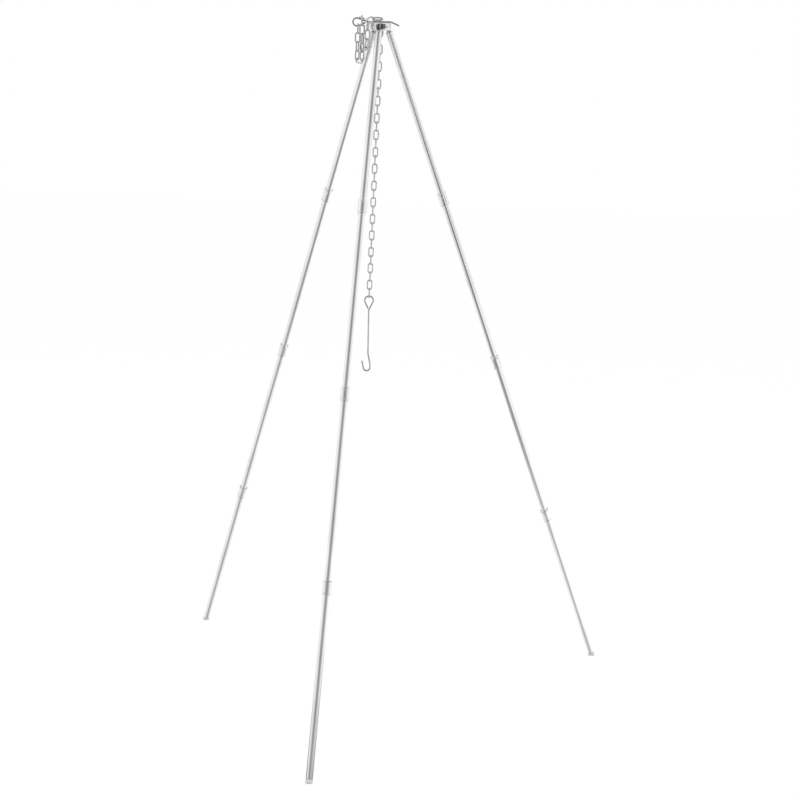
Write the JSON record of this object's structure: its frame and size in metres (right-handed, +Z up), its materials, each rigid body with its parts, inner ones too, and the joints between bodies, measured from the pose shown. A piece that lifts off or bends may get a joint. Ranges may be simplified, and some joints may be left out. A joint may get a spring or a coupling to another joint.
{
  "type": "cooking tripod",
  "caption": "Camp cooking tripod with take-apart folding legs, a hub, and a chain that is set in height by a locking pin and carries a pot hook.",
  "frame": {"origin": "on the ground, at the middle of the footprint's bounding box", "axes": "+Z up along the hub's axis direction; -Y towards the front leg; +X towards the right rear leg's side"},
  "size_m": [0.7916, 0.6872, 1.196],
  "materials": {
    "hub": "polished, bright",
    "leg_tube": "drawn and polished tube",
    "joint_sleeve": "turned and polished",
    "fitting": "turned, plain",
    "foot_plug": "satin light grey",
    "elastic_cord": "woven cover over rubber",
    "chain": "bright plated wire",
    "bent_wire": "bright plated wire"
  },
  "bodies": {
    "hub": {"hub_body": "hub", "leg_front_pivot_pin": "fitting", "leg_right_pivot_pin": "fitting", "leg_left_pivot_pin": "fitting"},
    "leg_front_1": {"leg_front_tube_1": "leg_tube", "leg_front_top_plug": "fitting", "leg_front_cord_1": "elastic_cord"},
    "leg_front_2": {"leg_front_tube_2": "leg_tube", "leg_front_sleeve_1": "joint_sleeve", "leg_front_cord_2": "elastic_cord"},
    "leg_front_3": {"leg_front_tube_3": "leg_tube", "leg_front_sleeve_2": "joint_sleeve", "leg_front_cord_3": "elastic_cord"},
    "leg_front_4": {"leg_front_tube_4": "leg_tube", "leg_front_sleeve_3": "joint_sleeve", "leg_front_cord_4": "elastic_cord", "leg_front_foot_plug": "foot_plug"},
    "leg_right_1": {"leg_right_tube_1": "leg_tube", "leg_right_top_plug": "fitting", "leg_right_cord_1": "elastic_cord"},
    "leg_right_2": {"leg_right_tube_2": "leg_tube", "leg_right_sleeve_1": "joint_sleeve", "leg_right_cord_2": "elastic_cord"},
    "leg_right_3": {"leg_right_tube_3": "leg_tube", "leg_right_sleeve_2": "joint_sleeve", "leg_right_cord_3": "elastic_cord"},
    "leg_right_4": {"leg_right_tube_4": "leg_tube", "leg_right_sleeve_3": "joint_sleeve", "leg_right_cord_4": "elastic_cord", "leg_right_foot_plug": "foot_plug"},
    "leg_left_1": {"leg_left_tube_1": "leg_tube", "leg_left_top_plug": "fitting", "leg_left_cord_1": "elastic_cord"},
    "leg_left_2": {"leg_left_tube_2": "leg_tube", "leg_left_sleeve_1": "joint_sleeve", "leg_left_cord_2": "elastic_cord"},
    "leg_left_3": {"leg_left_tube_3": "leg_tube", "leg_left_sleeve_2": "joint_sleeve", "leg_left_cord_3": "elastic_cord"},
    "leg_left_4": {"leg_left_tube_4": "leg_tube", "leg_left_sleeve_3": "joint_sleeve", "leg_left_cord_4": "elastic_cord", "leg_left_foot_plug": "foot_plug"},
    "pin": {"locking_pin": "bent_wire", "chain_top_links": "chain", "spare_chain_over_rod": "chain", "spare_chain_over_eye": "chain"},
    "chain_1": {"chain_links_1": "chain"},
    "chain_2": {"chain_links_2": "chain"},
    "chain_3": {"chain_links_3": "chain"},
    "chain_4": {"chain_links_4": "chain"},
    "chain_5": {"chain_links_5": "chain"},
    "chain_6": {"chain_links_6": "chain"},
    "chain_7": {"chain_links_7": "chain"},
    "hook": {"hook": "bent_wire"},
    "spare_outer": {"spare_chain_outer_loop": "chain"},
    "spare_inner": {"spare_chain_inner_loop": "chain"}
  },
  "joints": [
    {"name": "front_leg_fold", "type": "hinge", "parent": "hub", "child": "leg_front_1", "pos_m": [0, 0.10089, 1.17722], "axis": [1, 0, 0], "range_deg": [0, 15]},
    {"name": "front_leg_joint_1", "type": "slide", "parent": "leg_front_1", "child": "leg_front_2", "axis": [0, -0.3494, -0.937], "range_m": [0, 0.03], "stiffness_N_per_m": 120, "springref_m": -0.05},
    {"name": "front_leg_joint_2", "type": "slide", "parent": "leg_front_2", "child": "leg_front_3", "axis": [0, -0.3494, -0.937], "range_m": [0, 0.03], "stiffness_N_per_m": 120, "springref_m": -0.05},
    {"name": "front_leg_joint_3", "type": "slide", "parent": "leg_front_3", "child": "leg_front_4", "axis": [0, -0.3494, -0.937], "range_m": [0, 0.03], "stiffness_N_per_m": 120, "springref_m": -0.05},
    {"name": "right_leg_fold", "type": "hinge", "parent": "hub", "child": "leg_right_1", "pos_m": [0.01013, 0.11844, 1.17722], "axis": [-0.5, 0.866, 0], "range_deg": [0, 15]},
    {"name": "right_leg_joint_1", "type": "slide", "parent": "leg_right_1", "child": "leg_right_2", "axis": [0.3026, 0.1747, -0.937], "range_m": [0, 0.03], "stiffness_N_per_m": 120, "springref_m": -0.05},
    {"name": "right_leg_joint_2", "type": "slide", "parent": "leg_right_2", "child": "leg_right_3", "axis": [0.3026, 0.1747, -0.937], "range_m": [0, 0.03], "stiffness_N_per_m": 120, "springref_m": -0.05},
    {"name": "right_leg_joint_3", "type": "slide", "parent": "leg_right_3", "child": "leg_right_4", "axis": [0.3026, 0.1747, -0.937], "range_m": [0, 0.03], "stiffness_N_per_m": 120, "springref_m": -0.05},
    {"name": "left_leg_fold", "type": "hinge", "parent": "hub", "child": "leg_left_1", "pos_m": [-0.01013, 0.11844, 1.17722], "axis": [-0.5, -0.866, 0], "range_deg": [0, 15]},
    {"name": "left_leg_joint_1", "type": "slide", "parent": "leg_left_1", "child": "leg_left_2", "axis": [-0.3026, 0.1747, -0.937], "range_m": [0, 0.03], "stiffness_N_per_m": 120, "springref_m": -0.05},
    {"name": "left_leg_joint_2", "type": "slide", "parent": "leg_left_2", "child": "leg_left_3", "axis": [-0.3026, 0.1747, -0.937], "range_m": [0, 0.03], "stiffness_N_per_m": 120, "springref_m": -0.05},
    {"name": "left_leg_joint_3", "type": "slide", "parent": "leg_left_3", "child": "leg_left_4", "axis": [-0.3026, 0.1747, -0.937], "range_m": [0, 0.03], "stiffness_N_per_m": 120, "springref_m": -0.05},
    {"name": "pin_lift", "type": "slide", "parent": "hub", "child": "pin", "axis": [0, 0, 1], "range_m": [0, 0.03]},
    {"name": "chain_swing_1", "type": "hinge", "parent": "pin", "child": "chain_1", "pos_m": [-0.00082, 0.11237, 1.13083], "axis": [0.9656, 0.2587, -0.0271], "range_deg": [-10, 10]},
    {"name": "chain_swing_2", "type": "hinge", "parent": "chain_1", "child": "chain_2", "pos_m": [-0.00226, 0.11198, 1.076], "axis": [0.2588, -0.9659, 0], "range_deg": [-10, 10]},
    {"name": "chain_swing_3", "type": "hinge", "parent": "chain_2", "child": "chain_3", "pos_m": [-0.00385, 0.11156, 1.01538], "axis": [-0.9656, -0.2587, 0.0271], "range_deg": [-10, 10]},
    {"name": "chain_swing_4", "type": "hinge", "parent": "chain_3", "child": "chain_4", "pos_m": [-0.00529, 0.11117, 0.96055], "axis": [-0.2588, 0.9659, 0], "range_deg": [-10, 10]},
    {"name": "chain_swing_5", "type": "hinge", "parent": "chain_4", "child": "chain_5", "pos_m": [-0.00688, 0.11074, 0.89992], "axis": [-0.9656, -0.2587, 0.0271], "range_deg": [-10, 10]},
    {"name": "chain_swing_6", "type": "hinge", "parent": "chain_5", "child": "chain_6", "pos_m": [-0.00831, 0.11036, 0.84509], "axis": [-0.2588, 0.9659, 0], "range_deg": [-10, 10]},
    {"name": "chain_swing_7", "type": "hinge", "parent": "chain_6", "child": "chain_7", "pos_m": [-0.0099, 0.10993, 0.78446], "axis": [0.9656, 0.2587, -0.0271], "range_deg": [-10, 10]},
    {"name": "hook_swing", "type": "hinge", "parent": "chain_7", "child": "hook", "pos_m": [-0.0118, 0.10942, 0.71504], "axis": [-0.9659, -0.2588, 0], "range_deg": [-20, 20]},
    {"name": "spare_outer_swing", "type": "hinge", "parent": "pin", "child": "spare_outer", "pos_m": [-0.033, 0.09942, 1.18823], "axis": [-0.5101, 0.367, -0.7779], "range_deg": [0, 8]},
    {"name": "spare_inner_swing", "type": "hinge", "parent": "pin", "child": "spare_inner", "pos_m": [-0.02552, 0.10395, 1.19079], "axis": [0.6201, -0.7056, -0.343], "range_deg": [0, 3]}
  ]
}
